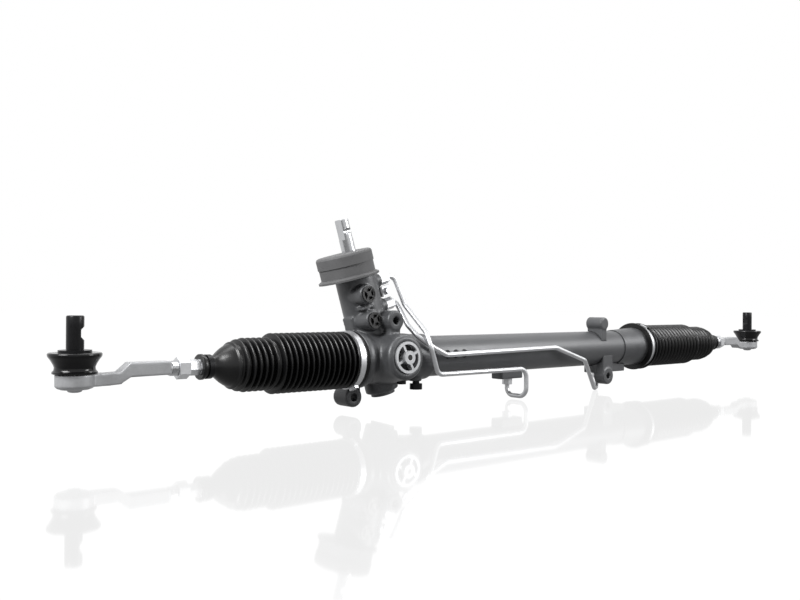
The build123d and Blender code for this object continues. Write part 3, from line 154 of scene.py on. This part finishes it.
# Forged steel under a light plate: rounded, with the die's soft skin
forged_plate = surface("forged_plated_steel", "#9b9c9e", "#aeafb1", 0.46, 0.5, 1.8, 0.05, patch=14,
                       rough_swing=0.05)
# Die-cast aluminium plug: slightly frosted
plug_alloy = surface("die_cast_plug_alloy", "#a9aaac", "#bcbdbf", 0.42, 0.6, 1, 0.01, rough_swing=0.04)
# Machined aluminium of the inner pieces: clean, with a broad highlight
inner_alloy = surface("machined_alloy", "#b5b6b8", "#c8c9cb", 0.34, 1, 1, 0.03)
# Black oxide on steel: dark with a soft metallic sheen
black_oxide = surface("black_oxide_steel", "#121213", "#1c1c1e", 0.32, 0.5, 1.2, 0.03, sheen=0.3)
# Moulded seal rubber: dull black
seal_rubber = surface("seal_rubber", "#101011", "#1a1a1b", 0.6, 0, 1.5, 0.05)
# Moulded plastic of the port plugs: black with a clear gloss
plug_plastic = surface("moulded_plug_plastic", "#08080a", "#101012", 0.3, 0, 1.5, 0.04)
# Moulded plastic of the ball seats: warm white and waxy
seat_plastic = surface("moulded_seat_plastic", "#d8d5cc", "#e3e0d8", 0.5, 0, 1.5, 0.04)
# Painted shade on the bottoms of deep pockets and punched dimples, where there is only shadow: near black and
# matte
painted_pocket_shade = surface("painted_shade_pocket_floor", "#0b0b0c", "#131314", 0.7, 0, 1.5, 0.04)

SLOT_FINISH = {
    "casting": cast_coat, "tube_paint": tube_coat, "cap_plastic": cap_plastic, "inner_alloy": inner_alloy,
    "plug_alloy": plug_alloy, "bright_steel": zinc_plate, "ground_steel": ground_steel,
    "forged_steel": forged_plate, "black_steel": black_oxide, "seal_rubber": seal_rubber,
    "bellows_rubber": bellows_rubber, "boot_rubber": boot_rubber, "black_plastic": plug_plastic,
    "white_plastic": seat_plastic}
node_slot = {part["node"]: part["material_slot"] for part in frame["record"]["subparts"]}
for name, obj in nodes.items():
    for place in obj.material_slots:
        place.material = SLOT_FINISH[node_slot[name]]


# Mesh helpers

# Radius at which a turned solid's outline meets its axis
AXIS_R = 0.02


def piece(name, bm, slot, body=None, smooth_deg=40):
    """Object from a bmesh, with the finish that its slot of the record takes."""
    mesh = bpy.data.meshes.new(name)
    bm.to_mesh(mesh)
    bm.free()
    mesh.materials.append(SLOT_FINISH[slot])
    obj = bpy.data.objects.new(name, mesh)
    bpy.context.scene.collection.objects.link(obj)
    mesh.shade_smooth()
    mesh.set_sharp_from_angle(angle=radians(smooth_deg))
    if body:
        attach(obj, body)
    return obj


def lathe(profile, place, steps=96):
    """Closed ring of (distance along the axis, radius) points in millimetres, turned about the axis."""
    bm = bmesh.new()
    corners = [bm.verts.new((r * MM, 0, at * MM)) for at, r in profile]
    edges = [bm.edges.new((a, b)) for a, b in zip(corners, corners[1:] + corners[:1])]
    bmesh.ops.spin(bm, geom=corners + edges, cent=(0, 0, 0), axis=(0, 0, 1), dvec=(0, 0, 0), angle=2 * pi,
                   steps=steps, use_merge=True)
    bmesh.ops.remove_doubles(bm, verts=bm.verts, dist=MM * MM)
    bmesh.ops.recalc_face_normals(bm, faces=bm.faces)
    bmesh.ops.transform(bm, matrix=place, verts=bm.verts)
    return bm


def ball_outline(centre, r, start_deg, end_deg):
    """Side of a ball from near its low pole upwards, a point every 8 degrees."""
    return [(centre - r * cos(radians(a)), r * sin(radians(a))) for a in range(start_deg, end_deg, 8)]


def along_x(x, sign):
    """Frame whose Z axis points along +X for sign 1 or -X for sign -1, on the rack axis at x."""
    turn = Matrix.Rotation(sign * pi / 2, 4, "Y")
    return Matrix.Translation((x * MM, AXIS_Y, AXIS_Z)) @ turn


def upright(x, sign=1):
    """Frame of an outer ball joint, whose X axis points to the rack."""
    return Matrix.Translation((x * MM, AXIS_Y, AXIS_Z)) @ Matrix.Rotation(0 if sign > 0 else pi, 4, "Z")


def copied(source):
    """Merged copy of a CAD node's mesh."""
    bm = bmesh.new()
    bm.from_mesh(nodes[source].data)
    bmesh.ops.remove_doubles(bm, verts=bm.verts, dist=MM * MM)
    return bm


def soften(name, source, bm, slot, voxel, passes, body="housing"):
    """Skin over a mesh that stands for a CAD node, its edges and corners rounded as a casting's are."""
    obj = piece(name, bm, slot)
    remesh = obj.modifiers.new("skin", "REMESH")
    remesh.mode = "VOXEL"
    remesh.voxel_size = voxel * MM
    ease = obj.modifiers.new("ease", "SMOOTH")
    ease.factor = 0.5
    ease.iterations = passes
    graph = bpy.context.evaluated_depsgraph_get()
    skin = bpy.data.meshes.new_from_object(obj.evaluated_get(graph))
    obj.modifiers.clear()
    obj.data = skin
    skin.shade_smooth()
    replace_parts(obj, source)
    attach(obj, body)


# Castings of the housing, with the skin's grid and how often it is smoothed

for name, source, slot, voxel, passes in (
        ("housing_casting", "rack_housing", "casting", 1.3, 5),
        ("right_end_brackets", "right_bracket", "tube_paint", 1, 5),
        ("upper_right_boss", "top_boss", "tube_paint", 0.9, 5),
        ("left_block_forging", "left_port_block", "tube_paint", 0.9, 4)):
    soften(name, source, copied(source), slot, voxel, passes)


# Rod ends, in the frame of the outer joint: a cup, an arm that leaves it level, a short step up and a
# flat-sided bar, with a pressed cover under the ball

OUTER_BALL_Z = -4.5
COVER_BORE_R = 11.4
COVER_TOP_Z = -13.2
CUP = [(-14.2, 14), (-14.2, 15), (-12, 17.4), (-0.9, 17.4), (-0.9, 14)]
# Sections as (x, half width, lower z, upper z)
ARM = [(15, 9.5, -12.8, -1.4), (30, 8.5, -12.6, -1.2), (41, 8, -12, -0.8)]
STEP_UP = [(40, 8, -12, -0.8), (50, 7.4, -6, 7.8)]
BAR = [(49.4, 7.4, -6.2, 8), (91, 7.2, -5.6, 7.6)]
COVER_RIM = [(COVER_TOP_Z, 9), (COVER_TOP_Z, 14), (-14.2, 14), (-14.9, 12.6), (-15, 8)]
COVER_BUTTON = [(-15.6, 7), (-17.2, 5.8), (-17.8, 3.5), (-18, AXIS_R)]


def beam(bm, place, sections):
    """Hulls between neighbouring rectangular sections."""
    for one, other in zip(sections, sections[1:]):
        corners = [bm.verts.new(place @ Vector((x * MM, side * half * MM, z * MM)))
                   for x, half, low, high in (one, other) for side in (-1, 1) for z in (low, high)]
        bmesh.ops.convex_hull(bm, input=corners)


for side, x, sign in SIDES:
    place = upright(x, sign)
    forging = lathe(CUP, place)
    for sections in (ARM, STEP_UP, BAR):
        beam(forging, place, sections)
    soften(f"rod_end_forging_{side}", f"tie_rod_end_{side}", forging, "forged_steel", 0.8, 4,
           f"tie_rod_{side}")
    bowl = [(at, r + AXIS_R) for at, r in ball_outline(OUTER_BALL_Z, COVER_BORE_R, 0, 60) if at < COVER_TOP_Z]
    cover = piece(f"pressed_cover_{side}", lathe(bowl + COVER_RIM + COVER_BUTTON, place), "forged_steel",
                  f"tie_rod_{side}")
    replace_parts(cover, f"bottom_cap_{side}")


# Tie rods, measured from the outer ball towards the rack: a shank that the bar hides, thread root, hexagon,
# collar under the bellows' end, rod and inner ball

TIE_LENGTH = 222
INNER_BALL_R = 13.9
SHANK_START = 62
SHANK_END = 90.8
SHANK_R = 5.2
THREAD_ROOT_R = 6.9
HEX_START = 110
HEX_R = 8.4
HEX_TURN_DEG = 12
HEX_CORE_R = 7
COLLAR_SEAT_START = 123
COLLAR_SEAT_R = 8
ROD_START = 140
ROD_R = 6.2
# The ball's outline starts where the rod meets it
ROD_MEETS_BALL_DEG = 26

for side, x, sign in SIDES:
    profile = [(SHANK_START, AXIS_R), (SHANK_START, SHANK_R), (SHANK_END, SHANK_R),
               (SHANK_END, THREAD_ROOT_R), (HEX_START, THREAD_ROOT_R), (HEX_START, HEX_CORE_R),
               (COLLAR_SEAT_START, HEX_CORE_R),
               (COLLAR_SEAT_START, COLLAR_SEAT_R), (ROD_START, COLLAR_SEAT_R), (ROD_START, ROD_R)]
    profile += ball_outline(TIE_LENGTH, INNER_BALL_R, ROD_MEETS_BALL_DEG, 180)
    rod = lathe(profile + [(TIE_LENGTH + INNER_BALL_R, AXIS_R)], along_x(x, sign))
    hex_middle = Matrix.Translation((0, 0, (HEX_START + COLLAR_SEAT_START) / 2 * MM))
    hex_turn = Matrix.Rotation(radians(HEX_TURN_DEG), 4, "Z")
    bmesh.ops.create_cone(rod, cap_ends=True, segments=6, radius1=HEX_R * MM, radius2=HEX_R * MM,
                          depth=(COLLAR_SEAT_START - HEX_START) * MM,
                          matrix=along_x(x, sign) @ hex_middle @ hex_turn)
    tie_rod = piece(f"turned_tie_rod_{side}", rod, "bright_steel", f"tie_rod_{side}")
    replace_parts(tie_rod, f"tie_rod_{side}")


# Bellows, measured from the seat on the housing

NECK_R = 29
SEAT_R = 31.6
WALL = 1.6
SEAT_LONG = 16
CUFF_LONG = 17
CUFF_BORE_R = 8
CONE_LONG = 15
CONE_START_R = 21.8
LARGE_FOLDS = 14
SMALL_FOLDS = 7
LARGE_ROOT = 26.2
LARGE_CREST = 32.6
MEET_R = 25.4
SMALL_ROOT = 22.6
SMALL_CREST = 28.3
LEFT_LIP_R = 32.2
RIGHT_LIP_R = 36
# The walls inside the folds run straight for this far on each side of where the sleeves meet
MEET_TAPER = 8
# Shares of a fold's pitch and of its height
FOLD_SHARES = [(0, 0), (0.16, 0.06), (0.28, 0.42), (0.36, 0.84), (0.43, 0.97), (0.5, 1), (0.57, 0.97),
               (0.64, 0.84), (0.72, 0.42), (0.84, 0.06)]


def folds(start, pitch, roots, crests):
    """Thin rounded ridges, one for each crest, between root radii that may change along the sleeve."""
    points = []
    for i, crest in enumerate(crests):
        for at, rise in FOLD_SHARES:
            root = roots[i] + at * (roots[i + 1] - roots[i])
            points.append((start + (i + at) * pitch, root + rise * (crest - root)))
    return points


def bellows(side, sign, seat_x, length, lip_r):
    """Two sleeves of folds that meet on the rack, the large ones by the housing, the small ones by the tie
    rod.
    """
    cuff = length - CUFF_LONG
    first = SEAT_LONG + 1
    pitch = (cuff - CONE_LONG - first) / (LARGE_FOLDS + SMALL_FOLDS)
    meet = first + LARGE_FOLDS * pitch
    last = meet + SMALL_FOLDS * pitch
    outer = [(0, lip_r), (1.2, lip_r + 0.5), (2.6, lip_r), (3.2, SEAT_R), (4.5, SEAT_R), (13.6, SEAT_R),
             (14.4, lip_r), (15.6, lip_r)]
    outer += folds(first, pitch, [LARGE_ROOT] * LARGE_FOLDS + [MEET_R], [LARGE_CREST] * LARGE_FOLDS)
    outer += [(meet, MEET_R)]
    inner = [(meet, MEET_R - WALL), (meet - MEET_TAPER, LARGE_ROOT - WALL),
             (SEAT_LONG + WALL, LARGE_ROOT - WALL), (SEAT_LONG, NECK_R), (0, NECK_R)]
    large = piece(f"large_folds_{side}", lathe(outer + inner, along_x(seat_x, sign)), "bellows_rubber")
    roots = [MEET_R] + [SMALL_ROOT] * (SMALL_FOLDS - 2) + [22.4, CONE_START_R]
    outer = folds(meet, pitch, roots, [SMALL_CREST] * (SMALL_FOLDS - 2) + [27, 24.5])
    outer += [(last, CONE_START_R), (cuff - 12, 20.4), (cuff - 8, 17.9), (cuff - 4, 14.8), (cuff - 1.5, 12.6),
              (cuff, 11.8), (cuff + 1.5, 11), (cuff + 4, 11), (cuff + 4.4, 11.7), (cuff + 5.6, 11.7),
              (cuff + 6, 11), (cuff + 12.6, 11), (cuff + 13.2, 12.8), (cuff + 14, 13), (cuff + 16.4, 13),
              (cuff + CUFF_LONG, 12.5)]
    inner = [(cuff + CUFF_LONG, CUFF_BORE_R), (cuff, CUFF_BORE_R), (last - pitch, SMALL_ROOT - WALL),
             (meet + MEET_TAPER, SMALL_ROOT - WALL), (meet, MEET_R - WALL)]
    small = piece(f"small_folds_{side}", lathe(outer + inner, along_x(seat_x, sign)), "bellows_rubber")

    def at(u):
        return ((seat_x + sign * u) * MM, AXIS_Y, AXIS_Z)

    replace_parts(large, f"bellows_{side}")
    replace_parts(small, f"bellows_{side}")
    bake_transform(large)
    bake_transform(small)


bellows("left", -1, SHOULDER_X, SHOULDER_X - OUTER_LEFT_X - COLLAR_SEAT_START, LEFT_LIP_R)
bellows("right", 1, COLLAR_SEAT_X, OUTER_RIGHT_X - COLLAR_SEAT_START - COLLAR_SEAT_X, RIGHT_LIP_R)


# Ball joint boots, turned about the studs: a bead on the cup, a waist, a flared lip and a flat top

BOOT_OUTSIDE = [(-0.6, 19.4), (-0.3, 19.9), (1.2, 19.9), (1.8, 19.2), (3, 18.2), (5.4, 17.9), (8, 18.9),
                (10.6, 20.4), (12.6, 21.6), (14.2, 22.9), (15.4, 23.6), (16.2, 23.8), (17.4, 23.8),
                (18.1, 23.4), (18.6, 22.6), (18.6, 15.4), (18.2, 14.9), (18.2, 7.4)]
BOOT_INSIDE = [(16.6, 7.4), (16.6, 19.8), (13.8, 19.2), (5.4, 16), (-0.6, 15.9)]

for side, x, _ in SIDES:
    boot = piece(f"ball_boot_{side}", lathe(BOOT_OUTSIDE + BOOT_INSIDE, upright(x)), "boot_rubber",
                 f"stud_{side}")
    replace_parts(boot, f"dust_boot_{side}")


# Ball studs, each with a notch for the clamping bolt whose sides slope

OUTER_BALL_R = 11
STUD_R = 7.9
STUD_SEAT = [(11.8, 6.5), (11.8, 7.4), (21.4, 7.4), (21.5, STUD_R)]
STUD_TOP = [(51.1, STUD_R), (51.9, 7.5), (52.3, 6.7), (52.3, AXIS_R)]
NOTCH_Z = 36
# Half lengths of the notch's floor, of the whole notch and of the close rings that it is cut from
NOTCH_FLAT = 3.4
NOTCH_REACH = 7
NOTCH_RINGS_REACH = 7.5
NOTCH_RING_PITCH = 0.3
NOTCH_FLOOR = 5.1
NOTCH_DEEP = STUD_R - NOTCH_FLOOR
NOTCH_SLOPE = 0.93
# The left stud's notch faces the rack, turned to the front, and the right one's is its mirror image
LEFT_NOTCH_FACING = Vector((0.943, -0.333, 0))


def notched_stud(side, x, facing):
    """Ball and shank turned in one piece, then cut back on one side where the notch is."""
    profile = [(at, max(r, AXIS_R)) for at, r in ball_outline(OUTER_BALL_Z, OUTER_BALL_R, 0, 145)] + STUD_SEAT
    rings = round(2 * NOTCH_RINGS_REACH / NOTCH_RING_PITCH) + 1
    profile += [(NOTCH_Z - NOTCH_RINGS_REACH + NOTCH_RING_PITCH * i, STUD_R) for i in range(rings)] + STUD_TOP
    bm = lathe(profile, Matrix.Identity(4), steps=120)
    for vert in bm.verts:
        away = abs(vert.co.z / MM - NOTCH_Z)
        floor = NOTCH_FLOOR + max(0, min(NOTCH_DEEP, (away - NOTCH_FLAT) * NOTCH_SLOPE))
        over = vert.co.dot(facing) / MM - floor
        if away < NOTCH_REACH and over > 0:
            vert.co -= facing * (over * MM)
    bmesh.ops.transform(bm, matrix=upright(x), verts=bm.verts)
    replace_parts(piece(f"notched_stud_{side}", bm, "black_steel", f"stud_{side}"), f"ball_stud_{side}")


for side, x, sign in SIDES:
    notched_stud(side, x, LEFT_NOTCH_FACING * sign)


# Rolled threads on the tie rods, between the rod end and the jam nut

THREAD_PITCH = 1.5
THREAD_TURNS = 5
THREAD_START = 91.4
THREAD_CREST_R = 7.5
THREAD_BORE_R = 6.2
thread_end = THREAD_START + THREAD_TURNS * THREAD_PITCH
for side, x, sign in SIDES:
    crests = []
    for i in range(THREAD_TURNS):
        at = THREAD_START + i * THREAD_PITCH
        crests += [(at, THREAD_ROOT_R), (at + 0.6, THREAD_CREST_R), (at + 0.9, THREAD_CREST_R)]
    back = [(thread_end, THREAD_ROOT_R), (thread_end, THREAD_BORE_R), (THREAD_START, THREAD_BORE_R)]
    piece(f"rod_thread_{side}", lathe(crests + back, along_x(x, sign), steps=64), "ground_steel",
          f"tie_rod_{side}")


# Painted shade: dark rings on the floors of the tube's three stakes, the yoke plug's pockets and its
# adjuster's socket

DISC_THICK = 0.15
DISC_BORE_R = 0.05
TO_FRONT = Matrix.Rotation(pi / 2, 4, "X")


def painted_shade_disc(name, place, outer, inner, height):
    """Thin ring of painted shade that lies on a recess's floor, its normal along the frame's Z axis."""
    profile = [(height, inner), (height, outer), (height + DISC_THICK, outer), (height + DISC_THICK, inner)]
    ring = piece(name, lathe(profile, place, steps=48), "black_steel", "housing")
    # Painted shade: the ring takes the near-black finish that stands in for the shadow on the recess's floor
    ring.data.materials[0] = painted_pocket_shade


TUBE_R = 25
STAKE_FIRST_X = 83
STAKE_PITCH = 14.5
STAKE_Z = 3
STAKE_R = 5.3
STAKE_DEEP = 1.4
# Painted shade in the three stakes of the tube
for i in range(3):
    stake_x = STAKE_FIRST_X + STAKE_PITCH * i
    stake = Matrix.Translation((stake_x * MM, AXIS_Y, AXIS_Z + STAKE_Z * MM)) @ TO_FRONT
    painted_shade_disc(f"stake_painted_shade_{i}", stake, STAKE_R, DISC_BORE_R, sqrt(TUBE_R ** 2 - STAKE_Z ** 2) - STAKE_DEEP)

YOKE_TURN_DEG = -4
POCKET_R = 15
HUB_R = 7.9
POCKET_FLOOR = 40
SOCKET_R = 3.4
SOCKET_FLOOR = 50
yoke_turn = Matrix.Rotation(radians(YOKE_TURN_DEG), 4, "X")
yoke_axis = Matrix.Translation((0, AXIS_Y, AXIS_Z)) @ yoke_turn @ TO_FRONT
# Painted shade in the yoke plug's pockets and in its adjuster's socket
painted_shade_disc("plug_pocket_painted_shade", yoke_axis, POCKET_R, HUB_R, POCKET_FLOOR)
painted_shade_disc("adjuster_socket_painted_shade", yoke_axis, SOCKET_R, DISC_BORE_R, SOCKET_FLOOR)


# Stage

TABLE_GAP = 0.4
TABLE_HALF_SIZE_M = 8
TABLE_CENTRE_M = (0.3, 1)
floor_z = cad_box[0][2] - TABLE_GAP * MM
bm = bmesh.new()
bmesh.ops.create_grid(bm, x_segments=1, y_segments=1, size=TABLE_HALF_SIZE_M)
bmesh.ops.translate(bm, vec=(*TABLE_CENTRE_M, floor_z), verts=bm.verts)
floor_mesh = bpy.data.meshes.new("studio_floor")
bm.to_mesh(floor_mesh)
bm.free()
floor = bpy.data.objects.new("studio_floor", floor_mesh)
bpy.context.scene.collection.objects.link(floor)

# White glossy table: it shows the room's white, a weak mirror image and a soft shadow.
# Glossy surfaces see a painted reflection on it: its glow fades darker towards the near side, painted shade
# in what metal reflects.
WHITE = (1, 1, 1, 1)
TABLE_GLOW = 1.12
TABLE_PAINT = (0.25, 0.25, 0.25, 1)
PAINT_SHARE = 0.1
MIRROR_SHARE = 0.2
NEAR_EDGE_M = -0.02
FAR_EDGE_M = 0.3
NEAR_PAINTED_REFLECTION = 0.35
gloss_table = bpy.data.materials.new("white_glossy_table")
gloss_table.use_nodes = True
tree = gloss_table.node_tree
tree.nodes.clear()
glow = add(tree, "ShaderNodeEmission", {"Color": WHITE, "Strength": TABLE_GLOW})
paint = add(tree, "ShaderNodeBsdfDiffuse", {"Color": TABLE_PAINT})
mirror = add(tree, "ShaderNodeBsdfGlossy", {"Color": WHITE, "Roughness": 0.05})
lit = add(tree, "ShaderNodeMixShader", {0: PAINT_SHARE}, {1: glow.outputs[0], 2: paint.outputs[0]})
seen = add(tree, "ShaderNodeMixShader", {0: MIRROR_SHARE}, {1: lit.outputs[0], 2: mirror.outputs[0]})
ray = add(tree, "ShaderNodeLightPath")
spot = add(tree, "ShaderNodeTexCoord").outputs["Object"]
depth = add(tree, "ShaderNodeSeparateXYZ", links={0: spot}).outputs["Y"]
# Painted reflection: the glow that glossy rays see fades darker towards the near side of the table
near = add(tree, "ShaderNodeMapRange",
           {"From Min": NEAR_EDGE_M, "From Max": FAR_EDGE_M, "To Min": NEAR_PAINTED_REFLECTION, "To Max": 1},
           {"Value": depth})
painted_reflection = add(tree, "ShaderNodeEmission", links={"Color": near.outputs[0]})
bounced = add(tree, "ShaderNodeMixShader", links={0: ray.outputs["Is Glossy Ray"], 1: paint.outputs[0],
                                                  2: painted_reflection.outputs[0]})
shown = add(tree, "ShaderNodeMixShader", links={0: ray.outputs["Is Camera Ray"], 1: bounced.outputs[0],
                                                2: seen.outputs[0]})
add(tree, "ShaderNodeOutputMaterial", links={"Surface": shown.outputs[0]})
floor_mesh.materials.append(gloss_table)

# White room: full white where the camera or a glossy surface sees it, and a weak fill elsewhere
ROOM_FILL = 0.12
world = bpy.data.worlds.new("white_studio")
bpy.context.scene.world = world
world.use_nodes = True
tree = world.node_tree
tree.nodes.clear()
ray = add(tree, "ShaderNodeLightPath")
known = add(tree, "ShaderNodeMath", links={0: ray.outputs["Is Camera Ray"], 1: ray.outputs["Is Glossy Ray"]},
            operation="MAXIMUM")
fill = add(tree, "ShaderNodeBackground", {"Color": WHITE, "Strength": ROOM_FILL})
white = add(tree, "ShaderNodeBackground", {"Color": WHITE, "Strength": 1})
both = add(tree, "ShaderNodeMixShader", links={0: known.outputs[0], 1: fill.outputs[0], 2: white.outputs[0]})
add(tree, "ShaderNodeOutputWorld", links={"Surface": both.outputs[0]})


# Lamps, in metres and watts

def softbox(name, place, target, size, power):
    """Rectangular lamp at a place, turned to a target."""
    light = bpy.data.lights.new(name, "AREA")
    light.shape = "RECTANGLE"
    light.size, light.size_y = size
    light.energy = power
    obj = bpy.data.objects.new(name, light)
    obj.location = place
    obj.rotation_euler = (Vector(target) - Vector(place)).to_track_quat("-Z", "Y").to_euler()
    bpy.context.scene.collection.objects.link(obj)


softbox("key_softbox", place=(-1.4, -0.1, 1.1), target=(0.05, 0, 0), size=(0.8, 0.8), power=42)
softbox("top_softbox", place=(0.3, 0.5, 1.6), target=(0.25, 0, 0), size=(2.4, 0.6), power=20)
softbox("right_softbox", place=(1.5, -1.3, 0.9), target=(0.6, 0, 0), size=(0.8, 0.8), power=30)


# Camera, fitted to the photograph, in metres

CAMERA_AT = (-0.63733, -0.75407, 0.0205)
CAMERA_FORWARD = (0.6485, 0.7612, 0.0035)
CAMERA_ROLL_DEG = 0.37
camera = bpy.data.cameras.new("camera")
camera.sensor_width = 36
camera.lens = 38.25
camera_object = bpy.data.objects.new("camera", camera)
forward = Vector(CAMERA_FORWARD).normalized()
level = forward.cross(Vector((0, 0, 1))).normalized()
above = level.cross(forward)
roll = radians(CAMERA_ROLL_DEG)
right = level * cos(roll) + above * sin(roll)
up = right.cross(forward)
turn = Matrix((right, up, -forward)).transposed().to_4x4()
camera_object.matrix_world = Matrix.Translation(CAMERA_AT) @ turn
bpy.context.scene.collection.objects.link(camera_object)
bpy.context.scene.camera = camera_object
bpy.context.scene.view_settings.view_transform = "Standard"
